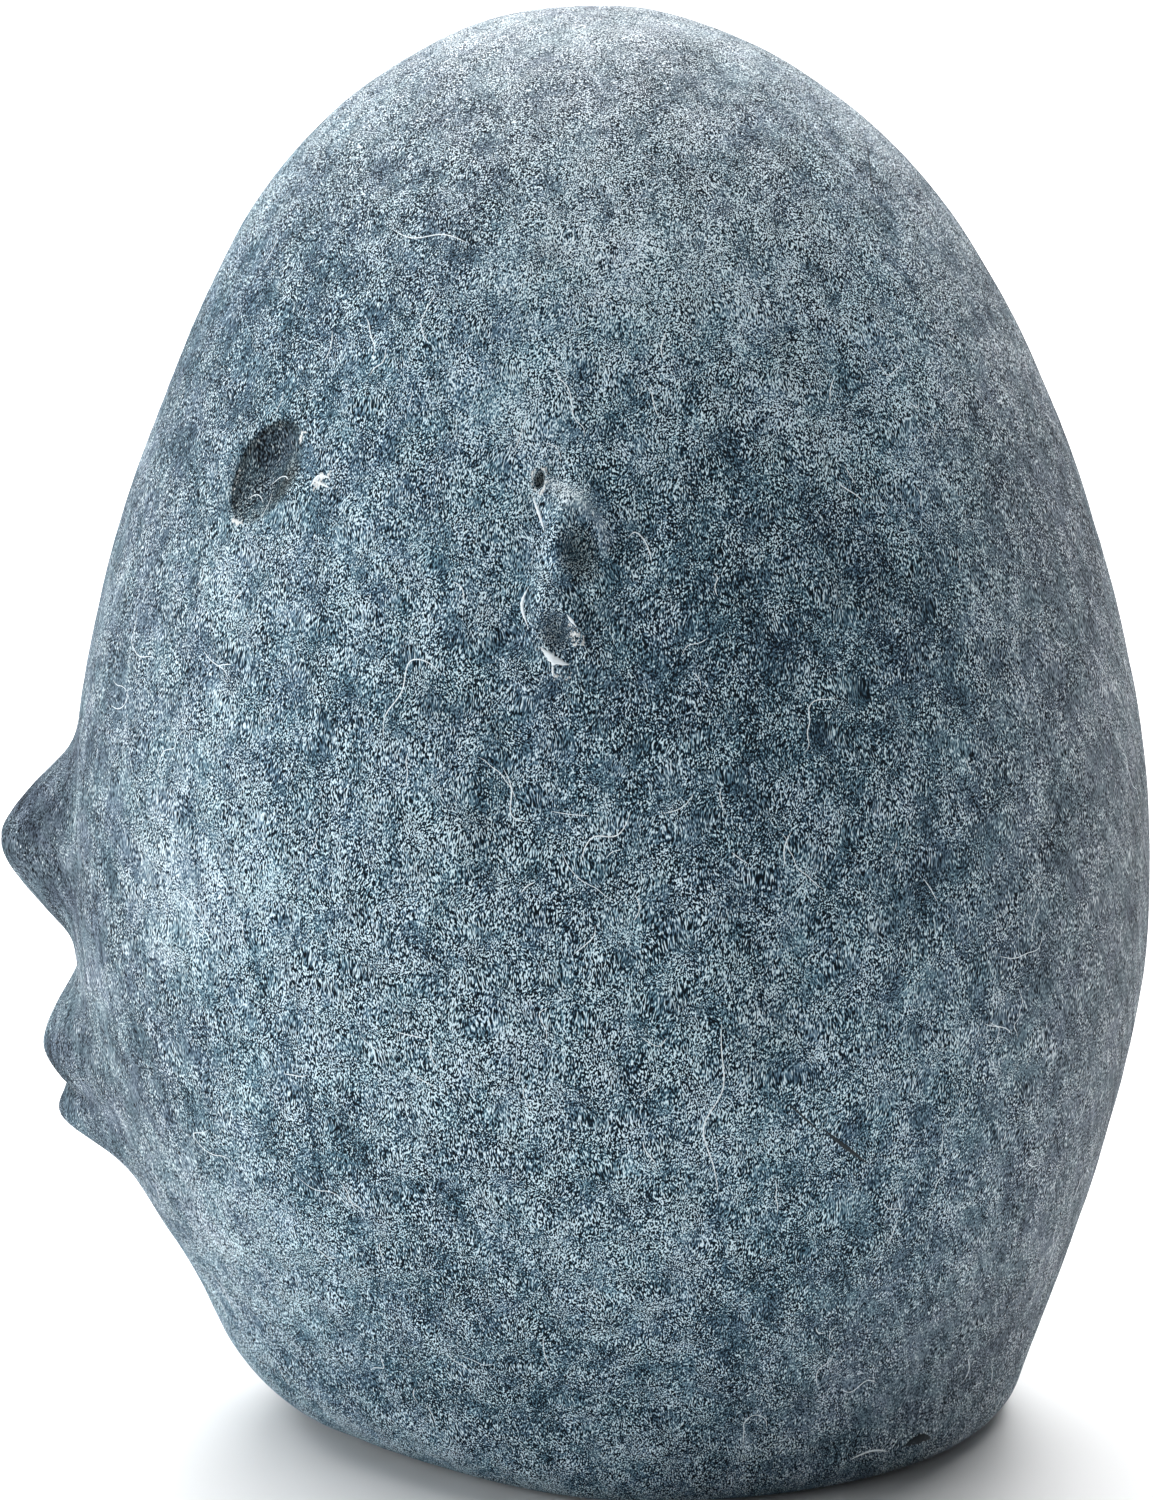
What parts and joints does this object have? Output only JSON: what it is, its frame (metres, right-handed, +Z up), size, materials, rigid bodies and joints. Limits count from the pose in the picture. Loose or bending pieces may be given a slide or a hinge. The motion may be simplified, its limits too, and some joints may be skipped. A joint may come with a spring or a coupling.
{
  "type": "abstract face sculpture",
  "caption": "Egg-shaped abstract head in whitewashed grey-blue clay, with pinched nose and lips, thumb-print eyes and finger-pressed ears, standing on its flat base.",
  "frame": {"origin": "on the flat underside, below the middle of the head's box", "axes": "+Z up to the crown, -Y the way the face looks, +X the head's own left side"},
  "size_m": [0.1732, 0.2116, 0.265],
  "materials": {
    "weathered_clay": "unglazed fired clay, matt and dry, grey-blue with a rubbed white wash, fine pits and brush marks"
  },
  "bodies": {
    "root": {"head": "weathered_clay"}
  },
  "joints": []
}
